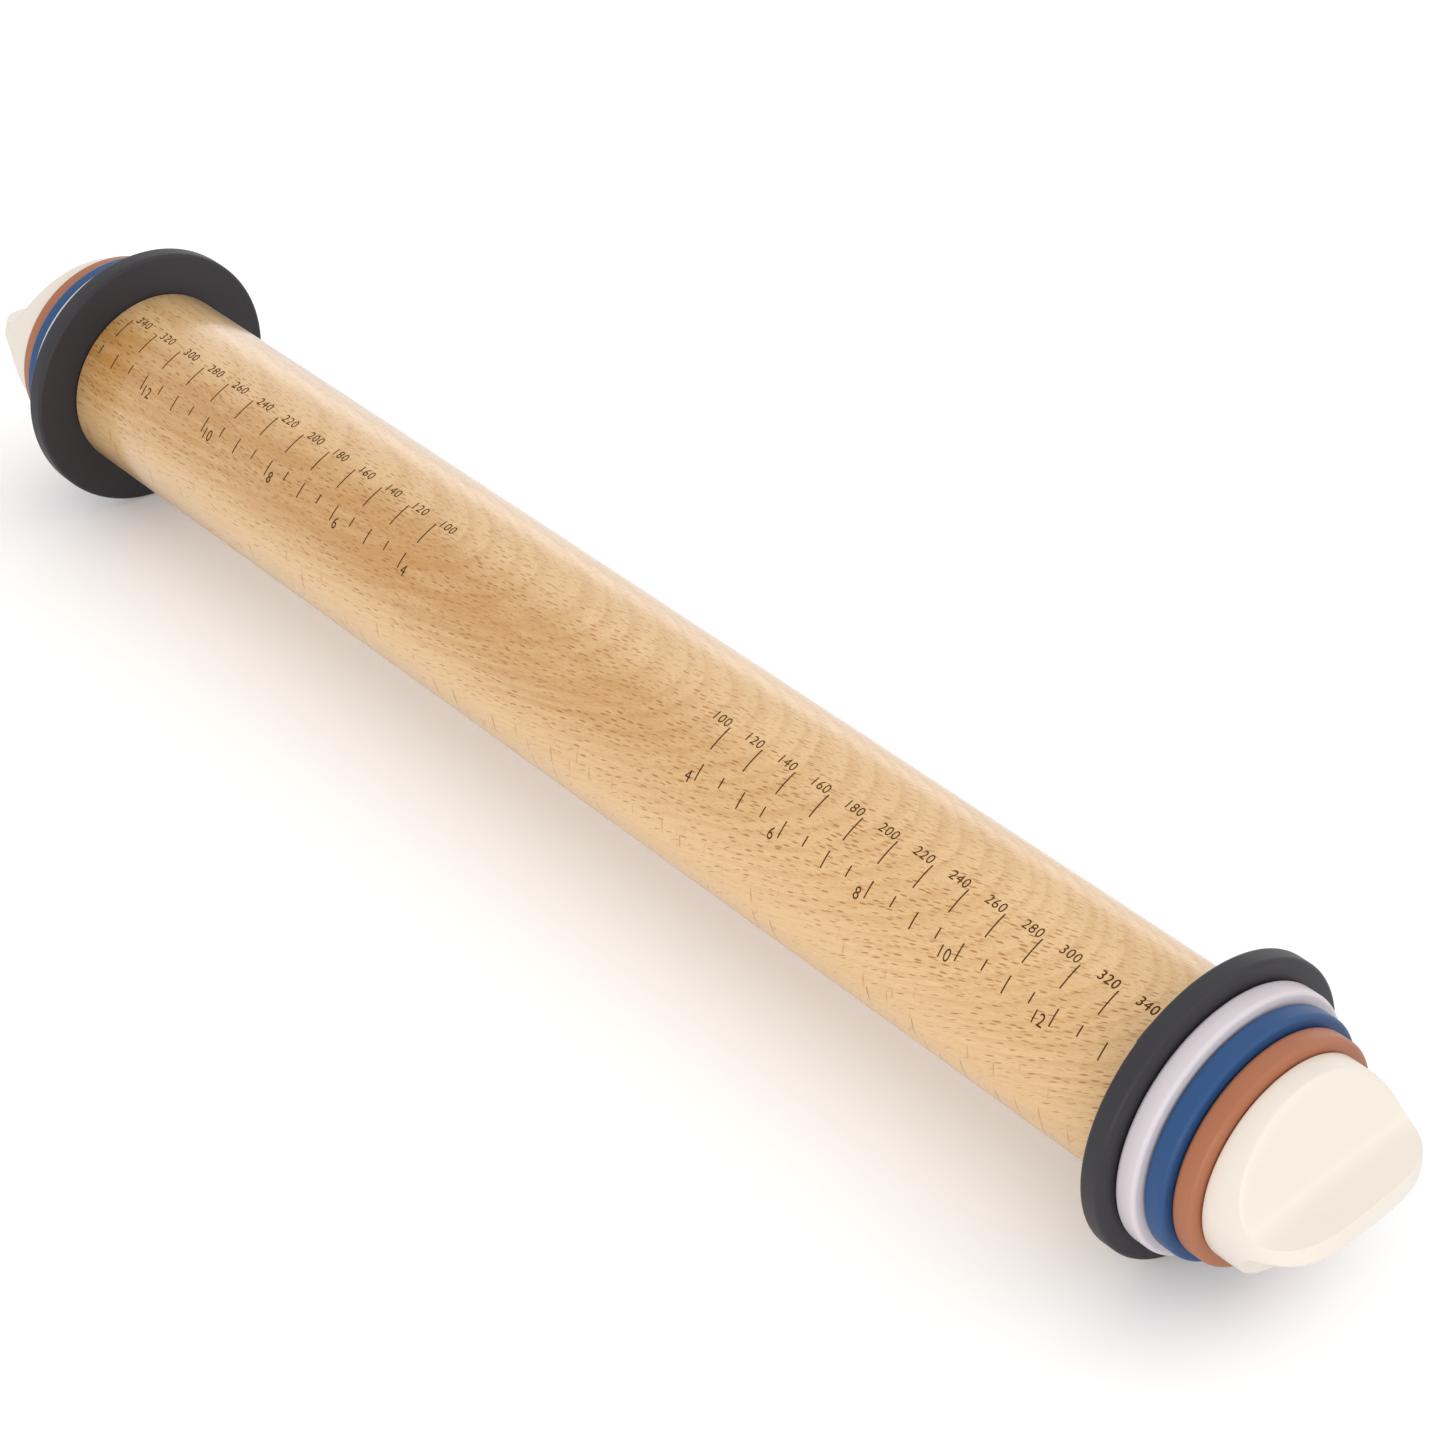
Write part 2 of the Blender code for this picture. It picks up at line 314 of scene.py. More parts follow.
def ray_marks(tree, log, angle):
    """Dashes where the bark side faces out, faded on the crest as a painted sheen, and flakes where it
    turns away.
    """
    facing = log[3]
    slim = calc(tree, "MAXIMUM", facing, SLIMMEST_RAY)
    fine = calc(tree, "MULTIPLY", ray_mask(tree, log, **FINE_RAYS, slim=slim), FINE_RAY_STRENGTH)
    # Painted sheen: the big rays are weaker on the crest, as if the lacquer's reflection washed them
    # out.
    unfaded_by_sheen = calc(tree, "MAXIMUM", ramp_up(tree, angle, *SHEEN_FADE_FRONT), ramp_up(tree, angle, *SHEEN_FADE_BACK))
    marks = calc(tree, "MULTIPLY", ray_mask(tree, log, **BIG_RAYS, slim=slim), unfaded_by_sheen)
    marks = calc(tree, "MAXIMUM", marks, fine)
    marks = calc(tree, "MULTIPLY", marks, ramp_up(tree, facing, *DASHES_BY_FACING))
    flakes = ray_mask(tree, log, **FLAKES)
    flakes = calc(tree, "MULTIPLY", flakes, ramp_up(tree, facing, *FLAKES_BY_FACING))
    return calc(tree, "MAXIMUM", marks, flakes)


print("big rays, half sizes", BIG_RAYS["half_size"], "flakes", FLAKES["half_size"])

# %% [markdown]
# ## Beech: growth rings and the honey streak
#
# Each growth ring ends in a line of darker late wood, faint in beech, and no two rings are
# equally wide. The distance from the pith, counted in rings and shifted by slow noise, gives that
# with one FRACT node. This barrel also has a honey-coloured streak of heartwood along its
# front, strongest at the left end. It is set by the angle down from the crest, so that it stays
# where it is on the real barrel, and noise stretched along the trunk breaks it into bands.

# %% Growth rings and the streak
RING_SPACING = 1.8 * MM
RING_CHANGE = 0.35
RING_UNEVENNESS = 1.5
LATE_WOOD_RISE = 0.30, 0.88
LATE_WOOD_FALL = 0.88, 1.0, 1.0, 0.0
LATE_WOOD_BY_FACING = 0.10, 0.60, 0.4, 1.0
LATE_WOOD_HIDDEN = 0.6
STREAK_RISE = math.radians(8), math.radians(36)
STREAK_FALL = math.radians(52), math.radians(96), 1.0, 0.0
STREAK_END = -60 * MM, 100 * MM, 1.0, 0.25


def growth_rings(tree, log, streak):
    """The late wood of each ring, weaker in the streak and where the bark side turns away."""
    rings = calc(tree, "DIVIDE", log[2], RING_SPACING)
    uneven = put(tree, "ShaderNodeTexNoise", {"noise_dimensions": "1D"}, {
        "W": rings, "Scale": RING_CHANGE})
    phase = calc(tree, "FRACT", calc(tree, "MULTIPLY_ADD", uneven.outputs[0], RING_UNEVENNESS, rings))
    late = calc(tree, "MULTIPLY", ramp_up(tree, phase, *LATE_WOOD_RISE),
                ramp_up(tree, phase, *LATE_WOOD_FALL))
    late = calc(tree, "MULTIPLY", late, calc(tree, "MULTIPLY_ADD", streak, -LATE_WOOD_HIDDEN, 1.0))
    return calc(tree, "MULTIPLY", late, ramp_up(tree, log[3], *LATE_WOOD_BY_FACING))


def heart_streak(tree, along, angle):
    """1 in the middle of the honey-coloured streak, falling to 0 at its edges."""
    rise = ramp_up(tree, angle, *STREAK_RISE)
    fall = ramp_up(tree, angle, *STREAK_FALL)
    end = ramp_up(tree, along, *STREAK_END)
    return calc(tree, "MULTIPLY", end, calc(tree, "MULTIPLY", rise, fall))


print("growth rings", RING_SPACING / MM, "mm apart")

# %% [markdown]
# ## Beech: one group for all of it
#
# The burnt marks on the barrel are the same wood, only charred, so the grain is one node group with
# its colours as inputs: the barrel and the marks each place it with their own. It puts out what
# changes over the surface, the colour, the roughness and the height of the fibres.

# %% The solid grain of beech as a shader group
BROAD_TONE = 160 * MM, 14 * MM, 9 * MM
FIBRE = 7 * MM, 0.22 * MM, 0.22 * MM
STREAK_BANDS = 130 * MM, 1.7 * MM, 1.7 * MM
LATE_WOOD_SHADE = 0.25
PATCH_SHADE = 0.30, 0.72, 0.03, 0.17
FIBRE_SHADE = 0.3, 0.7, -0.14, 0.14
STREAK_SHADE = 0.25, 0.75, 0.58, 0.98
FIBRE_ROUGHNESS = 0.3, 0.7, 0.30, 0.40
RAY_DENT = 0.7
SURFACE = [("Color", COLOUR), ("Roughness", NUMBER), ("Height", NUMBER)]


def beech_group():
    """Colour, roughness and height of sanded beech at each point of the solid."""
    tree, given, result = new_group("Beech grain", "ShaderNodeTree", [
        ("Light wood", COLOUR, (0.66, 0.42, 0.20, 1)),
        ("Dark wood", COLOUR, (0.50, 0.27, 0.10, 1)),
        ("Ray", COLOUR, (0.22, 0.10, 0.035, 1)),
        ("Ray strength", NUMBER, 0.8),
    ], SURFACE)
    place = put(tree, "ShaderNodeTexCoord").outputs["Object"]
    x, y, z = split_vector(tree, place)
    angle = calc(tree, "ARCTAN2", calc(tree, "MULTIPLY", y, -1.0), z)
    log = log_coordinates(tree, place, x)
    broad = noise(tree, stretched(tree, log, BROAD_TONE), 1.0, 2.0)
    fibre = noise(tree, stretched(tree, log, FIBRE), 1.0, 3.0)
    band = noise(tree, stretched(tree, log, STREAK_BANDS), 1.0, 2.0)

    streak = heart_streak(tree, x, angle)
    patches = ramp_up(tree, broad, *PATCH_SHADE)
    shade = calc(tree, "MULTIPLY_ADD", growth_rings(tree, log, streak), LATE_WOOD_SHADE, patches)
    shade = calc(tree, "ADD", shade, ramp_up(tree, fibre, *FIBRE_SHADE))
    shade = calc(tree, "MULTIPLY_ADD", streak, ramp_up(tree, band, *STREAK_SHADE), shade)
    wood = blend_colours(tree, shade, given.outputs["Light wood"], given.outputs["Dark wood"])

    marks = ray_marks(tree, log, angle)
    strength = calc(tree, "MULTIPLY", marks, given.outputs["Ray strength"])
    wood = blend_colours(tree, strength, wood, given.outputs["Ray"])
    tree.links.new(wood, result.inputs["Color"])
    tree.links.new(ramp_up(tree, fibre, *FIBRE_ROUGHNESS), result.inputs["Roughness"])
    tree.links.new(calc(tree, "MULTIPLY_ADD", marks, -RAY_DENT, fibre), result.inputs["Height"])
    return tree


beech = beech_group()
print("beech grain", len(beech.nodes), "nodes")

# %% [markdown]
# ## Bare and burnt wood
#
# The barrel is sanded and lacquered: a clear coat over wood that hardly shines by itself. The marks
# are burnt through that coat, so they are dark, dull and rough, with the grain still showing. Both
# are one function with different values. The coat's gloss is even, so it is set straight on the
# shader, and the grain group feeds only what changes.

# %% Materials of wood
WOOD_SPECULAR = 0.15
COAT_ROUGHNESS = 0.2
GRAIN_RELIEF = 0.03 * MM
GRAIN_RELIEF_STRENGTH = 0.35


def material(name):
    """A new Principled material; gives the material, its tree and its shader."""
    made = bpy.data.materials.new(name)
    made.use_nodes = True
    return made, made.node_tree, made.node_tree.nodes["Principled BSDF"]


def connect_surface(tree, shader, group, roughness, relief_strength, relief):
    """Feeds a group's colour and relief, and a roughness, to the shader."""
    bump = put(tree, "ShaderNodeBump", None, {
        "Strength": relief_strength, "Distance": relief, "Height": group.outputs["Height"]})
    tree.links.new(group.outputs["Color"], shader.inputs["Base Color"])
    tree.links.new(roughness, shader.inputs["Roughness"])
    tree.links.new(bump.outputs[0], shader.inputs["Normal"])


def wood_material(name, light, dark, ray, ray_strength, rougher, lacquer):
    """Beech with its grain as colour, gloss and relief, under a thin lacquer."""
    made, tree, shader = material(name)
    shader.inputs["Specular IOR Level"].default_value = WOOD_SPECULAR
    shader.inputs["Coat Weight"].default_value = lacquer
    shader.inputs["Coat Roughness"].default_value = COAT_ROUGHNESS
    grain = put(tree, "ShaderNodeGroup", {"node_tree": beech}, {
        "Light wood": (*light, 1), "Dark wood": (*dark, 1), "Ray": (*ray, 1),
        "Ray strength": ray_strength})
    rough = calc(tree, "ADD", grain.outputs["Roughness"], rougher)
    connect_surface(tree, shader, grain, rough, GRAIN_RELIEF_STRENGTH, GRAIN_RELIEF)
    return made


BEECH = wood_material(
    "lacquered_beech", light=(0.745, 0.492, 0.245), dark=(0.515, 0.264, 0.076),
    ray=(0.34, 0.125, 0.014), ray_strength=0.90, rougher=0.0, lacquer=1.0)
SCORCHED = wood_material(
    "scorched_beech", light=(0.100, 0.038, 0.006), dark=(0.075, 0.028, 0.004),
    ray=(0.040, 0.015, 0.003), ray_strength=0.5, rougher=0.35, lacquer=0.0)
print("wood", BEECH.name, SCORCHED.name)

# %% [markdown]
# ## Moulded plastic
#
# The rings and caps are injection moulded, with a satin skin: the colour is even, but the gloss
# changes gently from place to place and the surface has a faint unevenness that breaks up
# highlights. On the darker rings a few pale specks of dust show. All the plastics share that effect,
# so it is one group too, and each material gives it its own colour and keeps its own shader.

# %% The skin of moulded plastic as a shader group
CLOUD_SCALE = 45.0
GRIT_SCALE = 2600.0
GRIT_SHARE = 0.35
RUBBED = 0.42, 0.75, 0.0, 0.5
GLOSS_CHANGE = 0.2, 0.8
SPECK_SPACING = 3.2 * MM
SPECK_SIZE = 0.16 * MM
SMALLEST_SPECK = 0.4
SPECK_SHARE = 0.05
SPECK_COLOUR = (0.75, 0.75, 0.75, 1)


def speck_mask(tree, place):
    """1 inside a few round specks scattered over the surface."""
    voronoi = put(tree, "ShaderNodeTexVoronoi", {"voronoi_dimensions": "3D", "feature": "F1"}, {
        "Vector": place, "Scale": 1 / SPECK_SPACING})
    chance = put(tree, "ShaderNodeSeparateColor", None, {0: voronoi.outputs["Color"]}).outputs
    size = SPECK_SIZE / SPECK_SPACING
    edge = calc(tree, "MULTIPLY_ADD", chance[1], size, SMALLEST_SPECK * size)
    inside = calc(tree, "LESS_THAN", voronoi.outputs["Distance"], edge)
    return calc(tree, "MULTIPLY", inside, calc(tree, "LESS_THAN", chance[0], SPECK_SHARE))


def plastic_group():
    """Colour, roughness and height of a satin moulded surface."""
    tree, given, result = new_group("Moulded skin", "ShaderNodeTree", [
        ("Colour", COLOUR, (0.5, 0.5, 0.5, 1)),
        ("Rub", COLOUR, (0.6, 0.6, 0.6, 1)),
        ("Gloss low", NUMBER, 0.40),
        ("Gloss high", NUMBER, 0.52),
        ("Dust", NUMBER, 0.0),
    ], SURFACE)
    inputs = given.outputs
    place = put(tree, "ShaderNodeTexCoord").outputs["Object"]
    cloud = noise(tree, place, CLOUD_SCALE, 1.0)
    grit = noise(tree, place, GRIT_SCALE, 1.0)
    rubbed = ramp_up(tree, cloud, *RUBBED)
    painted = blend_colours(tree, rubbed, inputs["Colour"], inputs["Rub"])
    dust = calc(tree, "MULTIPLY", speck_mask(tree, place), inputs["Dust"])
    painted = blend_colours(tree, dust, painted, SPECK_COLOUR)
    gloss = ramp_up(tree, cloud, *GLOSS_CHANGE, inputs["Gloss low"], inputs["Gloss high"])
    tree.links.new(painted, result.inputs["Color"])
    tree.links.new(gloss, result.inputs["Roughness"])
    tree.links.new(calc(tree, "MULTIPLY_ADD", grit, GRIT_SHARE, cloud), result.inputs["Height"])
    return tree


skin = plastic_group()
print("moulded skin", len(skin.nodes), "nodes")

# %% [markdown]
# ## Seven plastics
#
# Charcoal, lilac, blue and terracotta for the rings, a glossier cream for the caps, and two plain
# off-whites for the hidden stems and sockets. Moulded colour is never quite even, so each plastic has
# two close colours, its own and that of rubbed places. The rings shine less than the caps, so
# their specular is lower. Even values like that one are set straight on the shader.

# %% Materials of plastic
SKIN_RELIEF = 0.02 * MM
SKIN_RELIEF_STRENGTH = 0.15


def plastic_material(name, colour, rub, gloss=(0.36, 0.46), dust=0.0, specular=0.5):
    """A plastic with the moulded skin in its own colour."""
    made, tree, shader = material(name)
    shader.inputs["Specular IOR Level"].default_value = specular
    group = put(tree, "ShaderNodeGroup", {"node_tree": skin}, {
        "Colour": (*colour, 1), "Rub": (*rub, 1), "Gloss low": gloss[0], "Gloss high": gloss[1],
        "Dust": dust})
    connect_surface(tree, shader, group, group.outputs["Roughness"], SKIN_RELIEF_STRENGTH, SKIN_RELIEF)
    return made


PLASTICS = {
    "charcoal": plastic_material(
        "charcoal_satin", colour=(0.031, 0.029, 0.034), rub=(0.036, 0.034, 0.040),
        gloss=(0.42, 0.52), dust=0.7, specular=0.25),
    "lilac": plastic_material(
        "lilac_satin", colour=(0.64, 0.58, 0.605), rub=(0.66, 0.60, 0.625), specular=0.3),
    "blue": plastic_material(
        "blue_satin", colour=(0.021, 0.071, 0.190), rub=(0.023, 0.075, 0.198),
        dust=0.5, specular=0.25),
    "terracotta": plastic_material(
        "terracotta_satin", colour=(0.375, 0.131, 0.060), rub=(0.40, 0.146, 0.070),
        dust=0.3, specular=0.4),
    "cream": plastic_material(
        "cream_gloss", colour=(0.778, 0.704, 0.624), rub=(0.783, 0.711, 0.634),
        gloss=(0.30, 0.36)),
    "stem": plastic_material(
        "stem_plain", colour=(0.78, 0.75, 0.70), rub=(0.72, 0.69, 0.64)),
    "socket": plastic_material(
        "socket_plain", colour=(0.66, 0.63, 0.58), rub=(0.60, 0.57, 0.52)),
}
print("plastics", [made.name for made in PLASTICS.values()])

# %% [markdown]
# ## Shells made of loops
#
# The barrel, the caps, the stems and the sockets are all turned or nearly turned. Each can be
# said as a row of closed loops of points, joined one to the next. One function makes the mesh from any
# such row, so a new piece only has to say how its loops run.

# %% Helpers that skin a row of loops
SHARP_ANGLE = math.radians(35)


def smooth_shade(mesh):
    """Shades a mesh smooth, except across its sharp edges."""
    mesh.shade_smooth()
    mesh.set_sharp_from_angle(angle=SHARP_ANGLE)


def shell(name, loops, finish, poles):
    """Joins each loop of points to the next, closes both ends at their poles and shades it."""
    count = len(loops[0])
    last = (len(loops) - 1) * count
    points = [tuple(point) for loop in loops for point in loop]
    faces = []
    for low in range(0, last, count):
        high = low + count
        for step in range(count):
            after = (step + 1) % count
            faces.append((low + step, low + after, high + after, high + step))
    for pole, low in zip(poles, (0, last)):
        centre = len(points)
        points.append(tuple(pole))
        for step in range(count):
            after = (step + 1) % count
            edge = (low + after, low + step) if low == 0 else (low + step, low + after)
            faces.append((*edge, centre))
    mesh = bpy.data.meshes.new(name)
    mesh.from_pydata(points, [], faces)
    mesh.materials.append(finish)
    smooth_shade(mesh)
    made = bpy.data.objects.new(name, mesh)
    bpy.context.scene.collection.objects.link(made)
    return made


def even_angles(count):
    """Angles evenly spaced round the pin's axis."""
    return (np.arange(count) + 0.5) * math.tau / count


def circle(x, radius, count):
    """A loop of points about the pin's axis; the radius may change from point to point."""
    angles = even_angles(count)
    return np.stack([np.full(count, x), radius * np.cos(angles), radius * np.sin(angles)], axis=1)


print("edges are sharp from", math.degrees(SHARP_ANGLE), "degrees")

# %% [markdown]
# ## Which way the faces point
#
# Light, shadows and the export all need faces that point outwards, and a row of loops may run either
# way. Adding up a small signed volume for each face tells which: a closed mesh whose faces all
# point outwards holds a positive volume. So each finished piece is measured, and turned if need be.

# %% Helpers that measure a closed mesh
def volume_inside(made):
    """The volume inside a closed mesh, which is positive when its faces point outwards."""
    total = 0.0
    for face in made.data.polygons:
        corners = [made.data.vertices[index].co for index in face.vertices]
        for second, third in zip(corners[1:], corners[2:]):
            total += corners[0].dot(second.cross(third)) / 6
    return total


def face_outwards(made):
    """Turns the faces round if they point inwards, and prints the volume inside."""
    if volume_inside(made) < 0:
        made.data.flip_normals()
    print(made.name, "holds", round(volume_inside(made) / MM ** 3), "cubic millimetres")


print("volumes are printed in cubic millimetres")

# %% [markdown]
# ## The barrel
#
# The barrel is a plain turned cylinder with its ends eased, and a bore at each end for the threaded
# sockets. The CAD barrel has 64 flat sides, which would catch the light as stripes, so a finer
# one stands for it: many more sides, and a small round on each end where the ring meets the wood.

# %% Turn the barrel
BARREL_SIDES = 256
BARREL_EASE = 0.4 * MM
EASE_STEPS = 4
SOCKET_START, _, _, SOCKET_OUTER = reach("thread_socket_right")
SOCKET_GAP = 0.3 * MM


def barrel_profile():
    """Places along the pin and radii at the right end, from the bore's floor to the outside."""
    bore = SOCKET_OUTER + SOCKET_GAP
    profile = [(SOCKET_START - SOCKET_GAP, bore), (BARREL_END, bore)]
    for step in range(EASE_STEPS + 1):
        bend = math.pi / 2 * step / EASE_STEPS
        x = BARREL_END - BARREL_EASE * (1 - math.sin(math.pi / 2 - bend))
        profile.append((x, BARREL_RADIUS - BARREL_EASE * (1 - math.sin(bend))))
    return profile


half = barrel_profile()
profile = half + [(-x, radius) for x, radius in reversed(half)]
barrel = shell(
    "beech_barrel",
    [circle(x, radius, BARREL_SIDES) for x, radius in profile],
    BEECH,
    poles=((half[0][0], 0, 0), (-half[0][0], 0, 0)),
)
face_outwards(barrel)
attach(barrel, "barrel")
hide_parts("wood_barrel")

# %% [markdown]
# ## The rings
#
# Eight rings share one shape: a flat washer with a rounded rim. What repeats is a job for Geometry
# Nodes. The tree sweeps a rectangle with filleted corners round a circle. Its sizes are named
# inputs, and those that differ from ring to ring are read from the frame.

# %% The tree that turns a ring
RING_SIDES = 192
RIM_EDGE = 1.0 * MM
BORE_EDGE = 0.4 * MM
EDGE_STEPS = 8


def end_tree(tree, result, geometry, finish):
    """Ends a tree as each one has to end: real geometry, painted with its finish."""
    real = put(tree, "GeometryNodeRealizeInstances", None, {0: geometry})
    painted = put(tree, "GeometryNodeSetMaterial", None, {0: real.outputs[0], "Material": finish})
    tree.links.new(painted.outputs[0], result.inputs[0])


def ring_tree():
    """Sweeps a filleted rectangle round a circle to make a ring about the pin's axis."""
    tree, given, result = new_group("Turned ring", "GeometryNodeTree", [
        ("Start", NUMBER, 0.0),
        ("Width", NUMBER, 5 * MM),
        ("Bore radius", NUMBER, 12 * MM),
        ("Rim radius", NUMBER, 30 * MM),
        ("Rim edge", NUMBER, RIM_EDGE),
        ("Bore edge", NUMBER, BORE_EDGE),
        ("Sides", WHOLE, RING_SIDES),
        ("Finish", MATERIAL, None),
    ], [("Geometry", GEOMETRY)])
    inputs = given.outputs
    depth = calc(tree, "SUBTRACT", inputs["Rim radius"], inputs["Bore radius"])
    middle = calc(tree, "ADD", inputs["Rim radius"], inputs["Bore radius"])
    middle = calc(tree, "MULTIPLY", middle, 0.5)
    outline = put(tree, "GeometryNodeCurvePrimitiveQuadrilateral", None, {
        "Width": depth, "Height": inputs["Width"]})
    across = split_vector(tree, put(tree, "GeometryNodeInputPosition").outputs[0])[0]
    on_rim = calc(tree, "GREATER_THAN", across, 0.0)
    change = calc(tree, "SUBTRACT", inputs["Rim edge"], inputs["Bore edge"])
    rounded = put(tree, "GeometryNodeFilletCurve", {"mode": "POLY"}, {
        "Curve": outline.outputs[0], "Limit Radius": True, "Count": EDGE_STEPS,
        "Radius": calc(tree, "MULTIPLY_ADD", on_rim, change, inputs["Bore edge"])})
    path = put(tree, "GeometryNodeCurvePrimitiveCircle", None, {
        "Resolution": inputs["Sides"], "Radius": middle})
    swept = put(tree, "GeometryNodeCurveToMesh", None, {
        "Curve": path.outputs[0], "Profile Curve": rounded.outputs[0]})
    centre = calc(tree, "MULTIPLY_ADD", inputs["Width"], 0.5, inputs["Start"])
    turned = put(tree, "GeometryNodeTransform", None, {
        "Geometry": swept.outputs[0], "Translation": join_vector(tree, centre),
        "Rotation": (0, math.pi / 2, 0)})
    end_tree(tree, result, turned.outputs[0], inputs["Finish"])
    return tree


turned_ring = ring_tree()
print("ring tree", len(turned_ring.nodes), "nodes")

# %% [markdown]
# ## Eight rings from one tree
#
# A modifier on an empty mesh runs the tree, and its result is kept as a plain mesh, because the
# export and the poses need plain pieces. A modifier's inputs are set by each socket's identifier,
# which the tree's interface gives for the name. Each ring rides its own body, because it slides
# out by its own share of the way when the cap backs away.

# %% Grow the eight rings
def grown(name, tree, values):
    """Runs a Geometry Nodes tree with the given values and keeps its result as a plain mesh."""
    host = bpy.data.objects.new(name, bpy.data.meshes.new(name))
    bpy.context.scene.collection.objects.link(host)
    modifier = host.modifiers.new("grow", "NODES")
    modifier.node_group = tree
    for item in tree.interface.items_tree:
        if item.in_out == "INPUT" and item.name in values:
            modifier[item.identifier] = values[item.name]
    depsgraph = bpy.context.evaluated_depsgraph_get()
    mesh = bpy.data.meshes.new_from_object(host.evaluated_get(depsgraph), depsgraph=depsgraph)
    host.modifiers.remove(modifier)
    host.data = mesh
    smooth_shade(mesh)
    return host


for colour in ("charcoal", "lilac", "blue", "terracotta"):
    for side in SIDES:
        node = f"{colour}_ring_{side}"
        start, end, bore_radius, rim_radius = reach(node)
        ring = grown(f"{colour}_{side}", turned_ring, {
            "Start": start, "Width": end - start, "Bore radius": bore_radius,
            "Rim radius": rim_radius, "Finish": PLASTICS[colour]})
        face_outwards(ring)
        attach(ring, node)
        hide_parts(node)

# %% [markdown]
# ## The caps
#
# Each cap starts as a blunt dome and ends as a thin wing for finger and thumb, because a broad scoop
# is taken out of either side. Carving those scoops with Booleans would leave a hard line; lofting
# is kinder. Every section across the cap is the dome's circle cut flat where the scoops pass
# it, and a soft minimum of the two rounds the lip, which is the fine bright line round each scoop.
# The points of a section crowd together at the wing's two ends, where it bends most.

# %% The outline of a cap
CAP_HEIGHT = CAP_TIP - CAP_BASE
CAP_EASE = 0.3 * MM
CAP_SIDES = 192
CAP_ROWS = 120
DOME_NOSE_POWER = 3.8
DOME_SIDE_POWER = 3.4
SCOOP_START = 4.5 * MM
SCOOP_MOUTH = 1.25 * CAP_RIM_RADIUS
SCOOP_HOLLOW_POWER = 5.8
LIP_POWER = 16
WING_HALF = 2.6 * MM
WING_TAPER = 0.9 * MM
WING_TAPER_POWER = 2.6
CROWDING = 0.35
OUTLINE_SAMPLES = 4001
NEARLY_NOTHING = 1e-9


def cap_section(x):
    """The cap's radius as a plain dome, and half its thickness in the middle of the scoops."""
    narrowing = max(1 - (x / CAP_HEIGHT) ** DOME_NOSE_POWER, NEARLY_NOTHING)
    radius = CAP_RIM_RADIUS * narrowing ** (1 / DOME_SIDE_POWER)
    depth = min(max((x - SCOOP_START) / (CAP_HEIGHT - SCOOP_START), 0), 1)
    scoop = WING_HALF + (SCOOP_MOUTH - WING_HALF) * (1 - depth) ** SCOOP_HOLLOW_POWER
    if x < CAP_EASE:
        radius -= CAP_EASE - math.sqrt(CAP_EASE ** 2 - (CAP_EASE - x) ** 2)
    return radius, scoop


def cap_loop(x):
    """One section of the cap, a circle at the rim that is cut flat into the wing."""
    radius, scoop = cap_section(x)
    even = even_angles(CAP_SIDES)
    angles = even - CROWDING * np.sin(2 * even)
    across = radius * np.cos(angles)
    dome = radius * np.abs(np.sin(angles))
    flat = scoop - WING_TAPER * np.abs(across / CAP_RIM_RADIUS) ** WING_TAPER_POWER
    through = dome / (1 + (dome / flat) ** LIP_POWER) ** (1 / LIP_POWER)
    return np.stack([np.full(CAP_SIDES, x), across, through * np.sign(np.sin(angles))], axis=1)


def cap_rows():
    """Places along the cap that are evenly spaced along its outline, from the rim to the tip."""
    bend = np.linspace(0, math.pi / 2, OUTLINE_SAMPLES)
    x = CAP_HEIGHT * np.sin(bend) ** (2 / DOME_NOSE_POWER)
    radius = CAP_RIM_RADIUS * np.maximum(np.cos(bend), 0) ** (2 / DOME_SIDE_POWER)
    length = np.cumsum(np.hypot(np.diff(x, prepend=x[0]), np.diff(radius, prepend=radius[0])))
    return np.interp(np.linspace(0, length[-1], CAP_ROWS + 1), length, x)[1:-1]


print("a cap has", len(cap_rows()), "rows over", CAP_HEIGHT / MM, "mm")

# %% [markdown]
# ## Both caps
#
# The cap's back is hollow: a pocket takes the stem's flange, and a hole in its middle takes the
# stem's boss. Both are loops in the same row as the outside, so the cap is one closed shell. The
# two wings in the photograph don't point the same way, because the caps were screwed home by
# hand, so each end has its own turn.

# %% Loft the caps
CAP_TURN = {"right": math.radians(6.5), "left": math.radians(17.5)}
POCKET_RADIUS = 18.3 * MM
POCKET_DEPTH = 3.3 * MM
BOSS_HOLE_RADIUS = 4.3 * MM
BOSS_HOLE_DEPTH = 8.3 * MM


def at_end(points, side, turn):
    """Turns points about the pin's axis and sets them on the cap's base at one end."""
    x, y, z = np.moveaxis(np.asarray(points, dtype=float), -1, 0)
    y, z = y * math.cos(turn) - z * math.sin(turn), y * math.sin(turn) + z * math.cos(turn)
    way = SIDES[side]
    return np.stack([way * (x + CAP_BASE), way * y, z], axis=-1)


def cap_loops():
    """The pocket in the cap's back, then its outside from the rim to the tip of the wing."""
    loops = [
        circle(BOSS_HOLE_DEPTH, BOSS_HOLE_RADIUS, CAP_SIDES),
        circle(POCKET_DEPTH, BOSS_HOLE_RADIUS, CAP_SIDES),
        circle(POCKET_DEPTH, POCKET_RADIUS, CAP_SIDES),
        circle(0, POCKET_RADIUS, CAP_SIDES),
    ]
    for step in range(EASE_STEPS):
        loops.append(cap_loop(CAP_EASE * (1 - math.cos(math.pi / 2 * step / EASE_STEPS))))
    loops += [cap_loop(x) for x in cap_rows() if x > CAP_EASE]
    return loops


for side in SIDES:
    loops = at_end(cap_loops(), side, CAP_TURN[side])
    poles = at_end([(BOSS_HOLE_DEPTH, 0, 0), (CAP_HEIGHT, 0, 0)], side, 0)
    cap = shell(f"winged_cap_{side}", loops, PLASTICS["cream"], poles)
    face_outwards(cap)
    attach(cap, f"cap_{side}")
    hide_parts(f"end_cap_{side}")

# %% [markdown]
# ## Stems and sockets
#
# Unscrew a cap and a hollow stem comes with it, with a coarse thread that runs in a cup pressed into
# the barrel. A thread is a radius that depends on both the place along the axis and the angle
# round it: a wave that moves on by one pitch each turn. The same wave, shifted outwards by the
# clearance, makes the socket, so the two fit at every turn.

